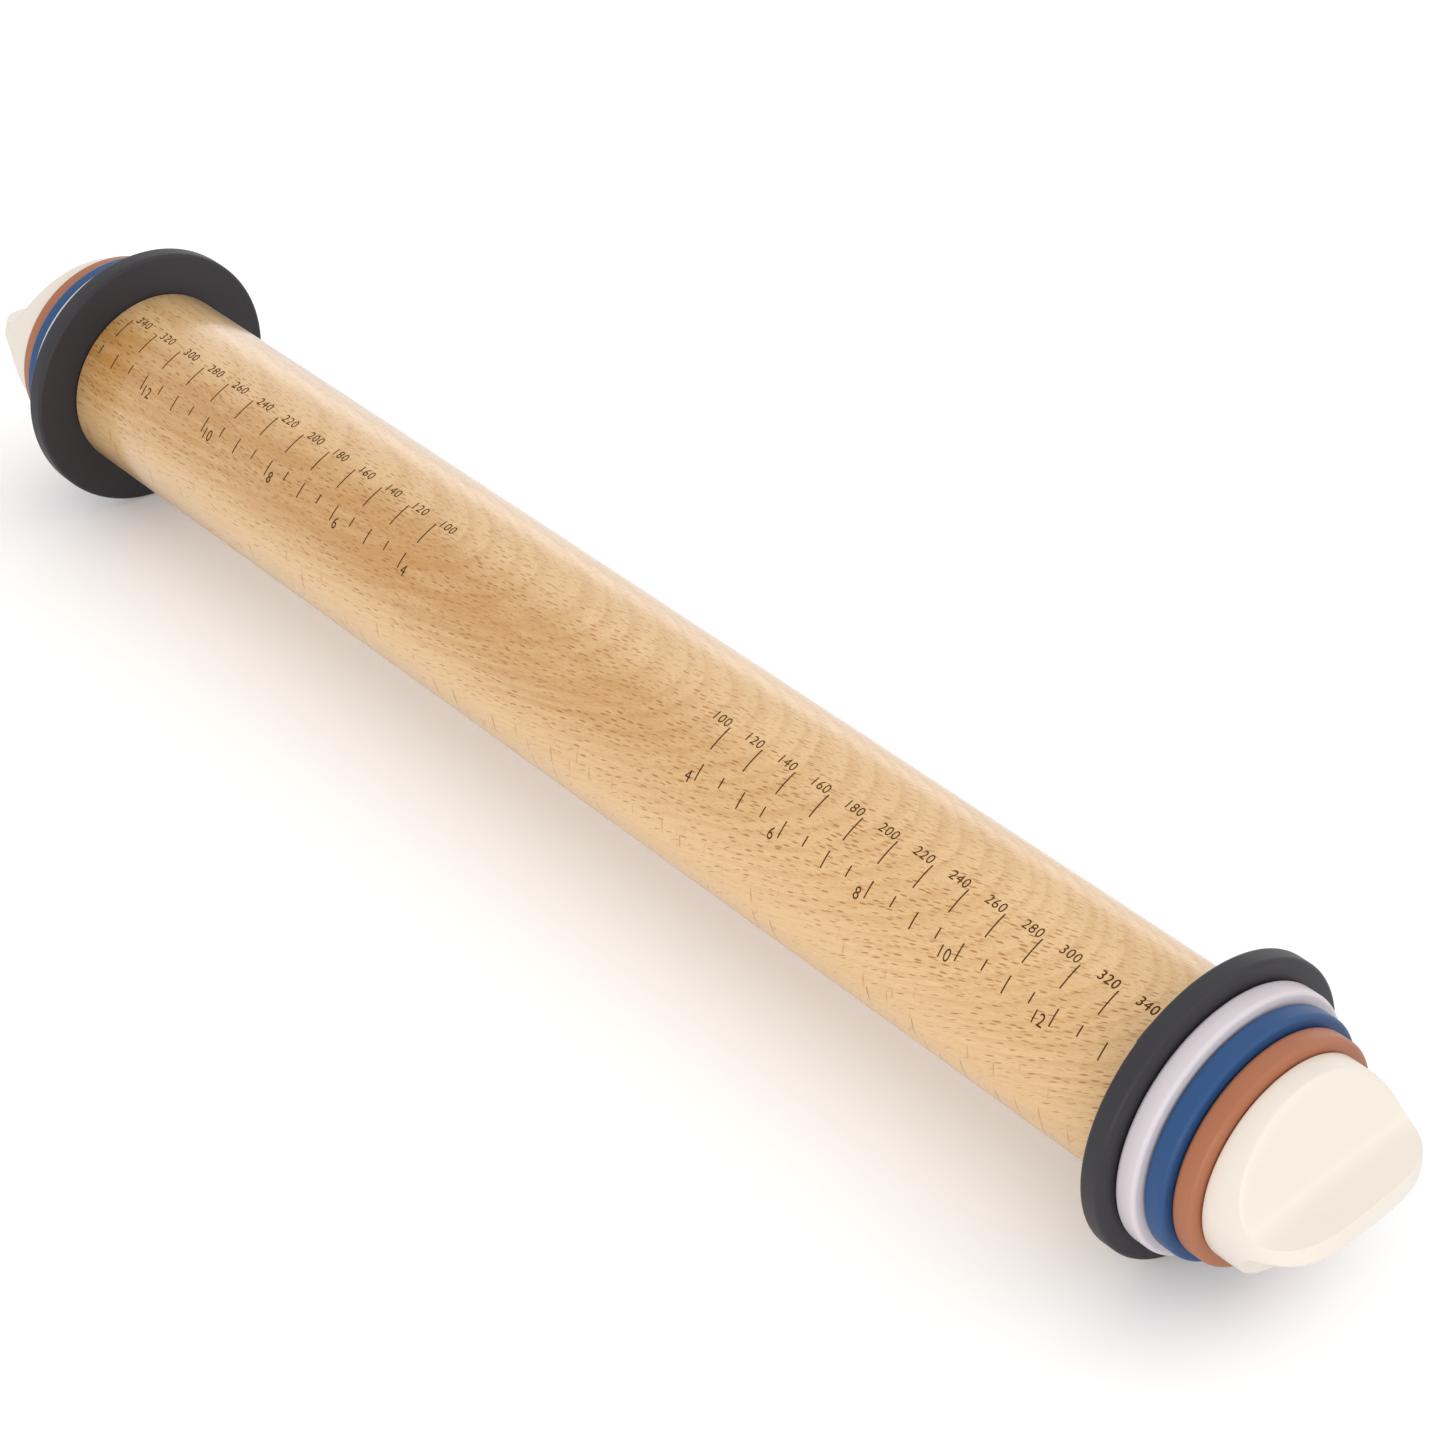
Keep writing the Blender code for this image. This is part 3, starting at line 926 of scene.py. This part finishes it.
# %% The wave of a thread
THREAD_PITCH = 6 * MM
THREAD_DEPTH = 1.8 * MM
THREAD_GAP = 0.6 * MM
THREAD_RUNOUT = 3 * MM
THREAD_SIDES = 96
STEPS_IN_A_PITCH = 24


def fade(distance):
    """Rises smoothly from 0 to 1 over the thread's run-out."""
    share = np.clip(distance / THREAD_RUNOUT, 0, 1)
    return share * share * (3 - 2 * share)


def threaded_loop(x, base, strength):
    """A loop whose radius follows the thread's wave, half its depth either side of the base."""
    wave = np.cos(math.tau * x / THREAD_PITCH - even_angles(THREAD_SIDES))
    return circle(x, base + THREAD_DEPTH / 2 * wave * strength, THREAD_SIDES)


print("a thread of", THREAD_PITCH / MM, "mm pitch, run out over", THREAD_RUNOUT / MM, "mm")

# %% [markdown]
# ## The loops of a stem and a socket
#
# Both pieces are described along the pin from the cap's base, as the cap is. A stem has, from inside
# out, a bore, the thread, a bare shank under the rings, a flange that fills the cap's back, and a
# boss. A socket is a cup, with the thread on its inside. The frame gives where each starts and
# ends, and how wide it is.

# %% Loops for stems and sockets
SHANK_RADIUS = 12 * MM
STEM_BORE_RADIUS = 6.5 * MM
STEM_WEB = 6.6 * MM
FLANGE_RADIUS = reach("threaded_stem_right")[3]
FLANGE_THICKNESS = 3 * MM
BOSS_RADIUS = 4 * MM
SOCKET_FLOOR = 3 * MM
stem_start = reach("threaded_stem_right")[0] - CAP_BASE
stem_end = reach("threaded_stem_right")[1] - CAP_BASE
thread_end = BARREL_END - CAP_BASE
cup_end = SOCKET_START - CAP_BASE
cup_floor = cup_end + SOCKET_FLOOR


def stem_loops():
    """From the bore's floor out through the thread, the shank, the flange and the boss."""
    loops = [circle(x, STEM_BORE_RADIUS, THREAD_SIDES) for x in (-STEM_WEB, stem_start)]
    for x in np.arange(stem_start, thread_end, THREAD_PITCH / STEPS_IN_A_PITCH):
        start, end = fade(x - stem_start), fade(thread_end - x)
        base = SHANK_RADIUS - THREAD_DEPTH / 2 + THREAD_DEPTH / 2 * (start - end)
        loops.append(threaded_loop(x, base, min(start, end)))
    for x, radius in ((thread_end, SHANK_RADIUS), (0, SHANK_RADIUS), (0, FLANGE_RADIUS),
                      (FLANGE_THICKNESS, FLANGE_RADIUS), (FLANGE_THICKNESS, BOSS_RADIUS),
                      (stem_end, BOSS_RADIUS)):
        loops.append(circle(x, radius, THREAD_SIDES))
    return loops


def socket_loops():
    """The inside thread from the cup's floor to its mouth, then the plain outside."""
    loops = []
    for x in np.arange(cup_floor, thread_end, THREAD_PITCH / STEPS_IN_A_PITCH):
        strength = min(fade(x - cup_floor), fade(thread_end - x))
        base = SHANK_RADIUS + THREAD_GAP - THREAD_DEPTH / 2 * strength
        loops.append(threaded_loop(x, base, strength))
    for x, radius in ((thread_end, SHANK_RADIUS + THREAD_GAP), (thread_end, SOCKET_OUTER),
                      (cup_end, SOCKET_OUTER)):
        loops.append(circle(x, radius, THREAD_SIDES))
    return loops


print("loops in a stem", len(stem_loops()), "and in a socket", len(socket_loops()))

# %% [markdown]
# ## Cutting the threads
#
# Stem and socket become shells in the way that the barrel did. The stem takes its cap's turn and
# rides on the cap's body, because it comes out with the cap. The socket takes the same turn,
# so the two threads stay in step, but it rides on the barrel, where it is pressed in.

# %% Cut the threads
for side in SIDES:
    for part, loops, ends, body in (
        ("threaded_stem", stem_loops(), (-STEM_WEB, stem_end), f"cap_{side}"),
        ("thread_socket", socket_loops(), (cup_floor, cup_end), "barrel"),
    ):
        kind = part.split("_")[1]
        poles = at_end([(ends[0], 0, 0), (ends[1], 0, 0)], side, 0)
        made = shell(f"fine_{kind}_{side}", at_end(loops, side, CAP_TURN[side]), PLASTICS[kind], poles)
        face_outwards(made)
        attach(made, body)
        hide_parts(f"{part}_{side}")

# %% [markdown]
# ## The burnt-in scales
#
# Two scales are burnt into the upper front of the barrel, one in millimetres and one in inches. The
# number beside a mark is the distance between that mark and its twin on the other half, so a
# round of dough can be measured across. Laying marks out on a round surface is fiddly, so they
# are laid out flat, and one small group rolls any flat drawing round the barrel. It keeps x, reads y
# as a distance round the barrel, and z as a height over the wood.

# %% A group that rolls a flat drawing round the barrel
MARK_PROUD = 0.015 * MM
MARK_DEPTH = 0.15 * MM
MARK_STROKE = 0.34 * MM
MARK_INPUTS = [
    ("Depth", NUMBER, MARK_DEPTH),
    ("Proud", NUMBER, MARK_PROUD),
    ("Radius", NUMBER, BARREL_RADIUS),
    ("Finish", MATERIAL, None),
]


def roll_group():
    """Moves a point (x, y, height) of a flat drawing onto the barrel; y = 0 is the barrel's crest."""
    tree, given, result = new_group("Roll round the barrel", "GeometryNodeTree", [
        ("Geometry", GEOMETRY, None), ("Radius", NUMBER, BARREL_RADIUS)], [("Geometry", GEOMETRY)])
    radius = given.outputs["Radius"]
    x, y, height = split_vector(tree, put(tree, "GeometryNodeInputPosition").outputs[0])
    angle = calc(tree, "DIVIDE", y, radius)
    lifted = calc(tree, "ADD", height, radius)
    rolled_y = calc(tree, "MULTIPLY", lifted, calc(tree, "SINE", angle))
    rolled_z = calc(tree, "MULTIPLY", lifted, calc(tree, "COSINE", angle))
    moved = put(tree, "GeometryNodeSetPosition", None, {
        "Geometry": given.outputs["Geometry"], "Position": join_vector(tree, x, rolled_y, rolled_z)})
    tree.links.new(moved.outputs[0], result.inputs[0])
    return tree


roll = roll_group()


def roll_and_end(tree, result, inputs, flat):
    """Rolls a flat drawing round the barrel and ends its tree."""
    rolled = put(tree, "GeometryNodeGroup", {"node_tree": roll}, {
        "Geometry": flat, "Radius": inputs["Radius"]})
    end_tree(tree, result, rolled.outputs[0], inputs["Finish"])


print("roll group", len(roll.nodes), "nodes")

# %% [markdown]
# ## Ticks
#
# A scale's ticks are equal marks at equal steps, and in the inch scale every second one is shorter.
# Geometry Nodes makes such a row from a line of points with a bar on each. The bar is cut into
# twelve along its length, so that it can bend when the row is rolled round the barrel.

# %% The tree that lays out ticks
BAR_ROWS = 13


def tick_tree():
    """A row of ticks that hang from one line; every second one can be shorter."""
    tree, given, result = new_group("Scale ticks", "GeometryNodeTree", [
        ("Count", WHOLE, 13),
        ("First", NUMBER, 50 * MM),
        ("Pitch", NUMBER, 10 * MM),
        ("Top line", NUMBER, 0.0),
        ("Long", NUMBER, 6 * MM),
        ("Short", NUMBER, 3 * MM),
        ("Stroke", NUMBER, MARK_STROKE),
        *MARK_INPUTS,
    ], [("Geometry", GEOMETRY)])
    inputs = given.outputs
    line = put(tree, "GeometryNodeMeshLine", {"mode": "OFFSET"}, {
        "Count": inputs["Count"], "Start Location": join_vector(tree, inputs["First"]),
        "Offset": join_vector(tree, inputs["Pitch"])})
    odd = calc(tree, "MODULO", put(tree, "GeometryNodeInputIndex").outputs[0], 2.0)
    shorter = calc(tree, "SUBTRACT", inputs["Short"], inputs["Long"])
    length = calc(tree, "MULTIPLY_ADD", odd, shorter, inputs["Long"])
    y = calc(tree, "MULTIPLY_ADD", length, -0.5, inputs["Top line"])
    z = calc(tree, "MULTIPLY_ADD", inputs["Depth"], -0.5, inputs["Proud"])
    hung = put(tree, "GeometryNodeSetPosition", None, {
        "Geometry": line.outputs[0], "Offset": join_vector(tree, 0.0, y, z)})
    bar = put(tree, "GeometryNodeMeshCube", None, {
        "Size": (1, 1, 1), "Vertices X": 2, "Vertices Y": BAR_ROWS, "Vertices Z": 2})
    ticks = put(tree, "GeometryNodeInstanceOnPoints", None, {
        "Points": hung.outputs[0], "Instance": bar.outputs[0],
        "Scale": join_vector(tree, inputs["Stroke"], length, inputs["Depth"])})
    flat = put(tree, "GeometryNodeRealizeInstances", None, {0: ticks.outputs[0]})
    roll_and_end(tree, result, inputs, flat.outputs[0])
    return tree


ticks = tick_tree()
print("tick tree", len(ticks.nodes), "nodes")

# %% [markdown]
# ## Numbers
#
# A text node draws each number as outlines. Two steps make them burnt marks. First they swell a
# little, as a burn spreads: each point moves outwards, across the outline's direction. Then they are
# filled and extruded, and the bottom is added, so that each mark is a closed solid in the wood.

# %% From an outline to a burnt solid
OUTLINE_STEP = 0.12 * MM
WELD = 0.0001 * MM
LIGHT_BURN = 0.008 * MM


def swollen(tree, curves, weight):
    """Closed outlines moved outwards by a weight, with even steps between their points."""
    even = put(tree, "GeometryNodeResampleCurve", {"mode": "LENGTH"}, {
        "Curve": curves, "Length": OUTLINE_STEP})
    tangent = put(tree, "GeometryNodeInputTangent").outputs[0]
    outside = vector_calc(tree, "CROSS_PRODUCT", tangent, (0, 0, 1))["Vector"]
    thicker = put(tree, "ShaderNodeVectorMath", {"operation": "SCALE"}, {0: outside, "Scale": weight})
    return put(tree, "GeometryNodeSetPosition", None, {
        "Geometry": even.outputs[0], "Offset": thicker.outputs[0]}).outputs[0]


def solid_from(tree, curves, depth):
    """Fills closed outlines and makes them a solid that rises by the depth."""
    filled = put(tree, "GeometryNodeFillCurve", None, {"Curve": curves})
    raised = put(tree, "GeometryNodeExtrudeMesh", None, {
        "Mesh": filled.outputs[0], "Offset Scale": depth, "Individual": False})
    under = put(tree, "GeometryNodeFlipFaces", None, {0: filled.outputs[0]})
    both = put(tree, "GeometryNodeJoinGeometry")
    tree.links.new(raised.outputs[0], both.inputs[0])
    tree.links.new(under.outputs[0], both.inputs[0])
    return put(tree, "GeometryNodeMergeByDistance", None, {
        0: both.outputs[0], "Distance": WELD}).outputs[0]


print("outlines are drawn in steps of", OUTLINE_STEP / MM, "mm")

# %% [markdown]
# ## A number beside its tick
#
# A number stands beside its tick, on the side towards the middle of the pin. How wide it is depends
# on its digits, so the tree measures the solid's box, and moves it until its near edge is one
# gap away from the tick. This keeps all the gaps alike, whatever the number.

# %% The tree that sets one number
LETTER_SPACING = 1.12


def number_tree():
    """A number beside its tick, on the side towards the middle of the pin."""
    tree, given, result = new_group("Scale number", "GeometryNodeTree", [
        ("Value", WHOLE, 100),
        ("Tick", NUMBER, 50 * MM),
        ("Side", NUMBER, 1.0),
        ("Gap", NUMBER, 1 * MM),
        ("Baseline", NUMBER, 0.0),
        ("Size", NUMBER, 3 * MM),
        ("Narrow", NUMBER, 0.9),
        ("Weight", NUMBER, LIGHT_BURN),
        *MARK_INPUTS,
    ], [("Geometry", GEOMETRY)])
    inputs = given.outputs
    digits = put(tree, "FunctionNodeValueToString", {"data_type": "INT"}, {0: inputs["Value"]})
    drawn = put(tree, "GeometryNodeStringToCurves", None, {
        "String": digits.outputs[0], "Size": inputs["Size"], "Character Spacing": LETTER_SPACING})
    drawn = put(tree, "GeometryNodeRealizeInstances", None, {0: drawn.outputs[0]})
    drawn = put(tree, "GeometryNodeTransform", None, {
        "Geometry": drawn.outputs[0], "Scale": join_vector(tree, inputs["Narrow"], 1.0, 1.0)})
    outline = swollen(tree, drawn.outputs[0], inputs["Weight"])
    solid = solid_from(tree, outline, inputs["Depth"])
    box = put(tree, "GeometryNodeBoundBox", None, {0: solid}).outputs
    low = split_vector(tree, box["Min"])[0]
    high = split_vector(tree, box["Max"])[0]
    right_half = calc(tree, "GREATER_THAN", inputs["Side"], 0.0)
    near_edge = calc(tree, "MULTIPLY_ADD", right_half, calc(tree, "SUBTRACT", high, low), low)
    x = calc(tree, "SUBTRACT", inputs["Tick"], near_edge)
    x = calc(tree, "SUBTRACT", x, calc(tree, "MULTIPLY", inputs["Side"], inputs["Gap"]))
    z = calc(tree, "SUBTRACT", inputs["Proud"], inputs["Depth"])
    moved = put(tree, "GeometryNodeTransform", None, {
        "Geometry": solid, "Translation": join_vector(tree, x, inputs["Baseline"], z)})
    roll_and_end(tree, result, inputs, moved.outputs[0])
    return tree


numbers = number_tree()
print("number tree", len(numbers.nodes), "nodes")

# %% [markdown]
# ## The plan of the scales
#
# What differs between the two scales, and between their left and right halves, is a short table.
# On the real barrel the two halves weren't burnt at quite the same height or gap, so those are
# given for each side, the heights as degrees down from the crest. Labels count the scale's own
# unit, and the sizes of the marks were measured in the photograph.

# %% Plan both scales
INCH = 25.4 * MM
SCALES = {
    "millimetre": {
        "unit": MM, "labels": range(100, 341, 20), "pitch": 10 * MM, "count": 13,
        "top_degrees": {"left": 18.1, "right": 20.9}, "long": 6.05 * MM, "short": 6.05 * MM,
        "baseline_degrees": {"left": 18.4, "right": 21.6},
        "gap": {"left": 1.2 * MM, "right": 0.75 * MM},
        "size": 3.2 * MM, "narrow": 0.98,
    },
    "inch": {
        "unit": INCH, "labels": range(4, 13, 2), "pitch": 0.25 * INCH, "count": 20,
        "top_degrees": {"left": 41.5, "right": 44.4}, "long": 3.9 * MM, "short": 2.45 * MM,
        "baseline_degrees": {"left": 54.0, "right": 57.4},
        "gap": {"left": 1.2 * MM, "right": 1.35 * MM},
        "size": 3.95 * MM, "narrow": 0.82,
    },
}


def down_from_crest(degrees):
    """Where a place so many degrees down the barrel's front lies in the flat drawing."""
    return -BARREL_RADIUS * math.radians(degrees)


print("labels", {scale: list(plan["labels"]) for scale, plan in SCALES.items()})

# %% [markdown]
# ## Burning in both scales
#
# Each half of each scale is one row of ticks and one set of numbers. The numbers are grown one by
# one and then joined, because a piece for every number would only make the part harder to handle.
# They ride on the barrel's body but replace none of its solids, as they only lie on the wood.

# %% Burn in both scales
HARD_BURN_EXTRA = 0.03 * MM
HARD_BURN_FROM = 150 * MM
HARD_BURN_RUN = 10 * MM


def burn_weight(x):
    """How much a number's outline swells, more at the right end, where it is burnt harder."""
    return LIGHT_BURN + HARD_BURN_EXTRA * min(max((x - HARD_BURN_FROM) / HARD_BURN_RUN, 0), 1)


def joined(name, pieces):
    """Makes one object of several."""
    with bpy.context.temp_override(active_object=pieces[0], selected_editable_objects=pieces):
        bpy.ops.object.join()
    pieces[0].name = pieces[0].data.name = name
    return pieces[0]


def burn(piece):
    """Hangs finished marks on the barrel."""
    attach(piece, "barrel")
    print(piece.name, len(piece.data.polygons), "faces")


for scale, plan in SCALES.items():
    for side, way in SIDES.items():
        row = grown(f"{scale}_ticks_{side}", ticks, {
            "Count": plan["count"], "First": way * plan["labels"][0] * plan["unit"] / 2,
            "Pitch": way * plan["pitch"], "Long": plan["long"], "Short": plan["short"],
            "Top line": down_from_crest(plan["top_degrees"][side]), "Finish": SCORCHED})
        burn(row)
        labels = []
        for value in plan["labels"]:
            tick = way * value * plan["unit"] / 2
            labels.append(grown(f"{scale}_{value}_{side}", numbers, {
                "Value": value, "Tick": tick, "Side": float(way), "Gap": plan["gap"][side],
                "Baseline": down_from_crest(plan["baseline_degrees"][side]),
                "Size": plan["size"], "Narrow": plan["narrow"],
                "Weight": burn_weight(tick), "Finish": SCORCHED}))
        burn(joined(f"{scale}_numbers_{side}", labels))

# %% [markdown]
# ## The floor
#
# The picture is a plain catalogue shot: white below, white all round. The floor is an ordinary
# white surface, so it keeps the pin's shadow and throws light back up at it. It is a round disc,
# which looks the same from every side. For the camera alone it glows faintly, which keeps the
# shadow pale without adding any light to the pin.

# %% A pale floor
FLOOR_LEVEL = cad_box[0].z
FLOOR_RADIUS = 1.25
FLOOR_CORNERS = 96
FLOOR_WHITE = 0.93
FLOOR_GLOW = 0.12
FLOOR_ROUGHNESS = 0.9


def pale_floor():
    """A round white table top under the pin."""
    rim = [(FLOOR_RADIUS * math.cos(turn), FLOOR_RADIUS * math.sin(turn), FLOOR_LEVEL)
           for turn in (math.tau * corner / FLOOR_CORNERS for corner in range(FLOOR_CORNERS))]
    mesh = bpy.data.meshes.new("floor")
    mesh.from_pydata(rim, [], [tuple(range(FLOOR_CORNERS))])
    made, tree, shader = material("white_table")
    seen = put(tree, "ShaderNodeLightPath").outputs["Is Camera Ray"]
    tree.links.new(calc(tree, "MULTIPLY", seen, FLOOR_GLOW), shader.inputs["Emission Color"])
    shader.inputs["Emission Strength"].default_value = 1.0
    shader.inputs["Base Color"].default_value = (FLOOR_WHITE, FLOOR_WHITE, FLOOR_WHITE, 1)
    shader.inputs["Roughness"].default_value = FLOOR_ROUGHNESS
    mesh.materials.append(made)
    floor = bpy.data.objects.new("floor", mesh)
    bpy.context.scene.collection.objects.link(floor)
    return floor


pale_floor()
print("floor at", FLOOR_LEVEL / MM, "mm")

# %% [markdown]
# ## Light
#
# The world gives most of the light, so every colour renders about as it is written. It is a little
# dimmer towards the left end, as in the photograph, while the camera and all reflections see it
# as plain white. Four flat lamps shape the pin: a large one overhead, one low in front that
# brightens the barrel's lower side, one behind whose reflection pales the crest, and a smaller one
# that is mirrored in the right cap's scoop.

# %% World and lamps
WORLD_STRENGTH = 0.97
WORLD_DIMMEST = 0.72
DIM_FROM = -0.1
DIMMEST_AT = -0.9
LAMPS = {
    "top_light": {"place": (-0.2, 0.3, 1.5), "width": 2.0, "height": 2.0, "power": 2.5},
    "front_light": {"place": (0.95, -1.2, 0.27), "width": 1.7, "height": 0.52, "power": 6.4},
    "back_light": {"place": (-1.1, 1.35, 0.28), "width": 2.0, "height": 0.5, "power": 2.0},
    "scoop_light": {"place": (1.0, 0.72, 1.05), "width": 0.85, "height": 0.65, "power": 2.3},
}


def white_world():
    """A world that dims towards the left end and that the camera and reflections see as white."""
    world = bpy.data.worlds.new("white_room")
    world.use_nodes = True
    bpy.context.scene.world = world
    tree = world.node_tree
    rays = put(tree, "ShaderNodeLightPath").outputs
    seen = calc(tree, "MAXIMUM", rays["Is Camera Ray"], rays["Is Glossy Ray"])
    seen = calc(tree, "MAXIMUM", seen, rays["Is Transmission Ray"])
    along = split_vector(tree, put(tree, "ShaderNodeTexCoord").outputs["Generated"])[0]
    light = ramp_up(tree, along, DIMMEST_AT, DIM_FROM, WORLD_DIMMEST, WORLD_STRENGTH)
    background = tree.nodes["Background"]
    background.inputs["Color"].default_value = (1, 1, 1, 1)
    tree.links.new(calc(tree, "MAXIMUM", seen, light), background.inputs["Strength"])


def soft_lamp(name, place, width, height, power):
    """A flat lamp that faces the pin."""
    lamp = bpy.data.lights.new(name, "AREA")
    lamp.shape = "RECTANGLE"
    lamp.size = width
    lamp.size_y = height
    lamp.energy = power
    made = bpy.data.objects.new(name, lamp)
    made.location = place
    made.rotation_euler = Vector(place).to_track_quat("Z", "Y").to_euler()
    bpy.context.scene.collection.objects.link(made)


white_world()
for name, plan in LAMPS.items():
    soft_lamp(name, **plan)
bpy.context.scene.view_settings.view_transform = "Standard"
print("lamps", list(LAMPS))
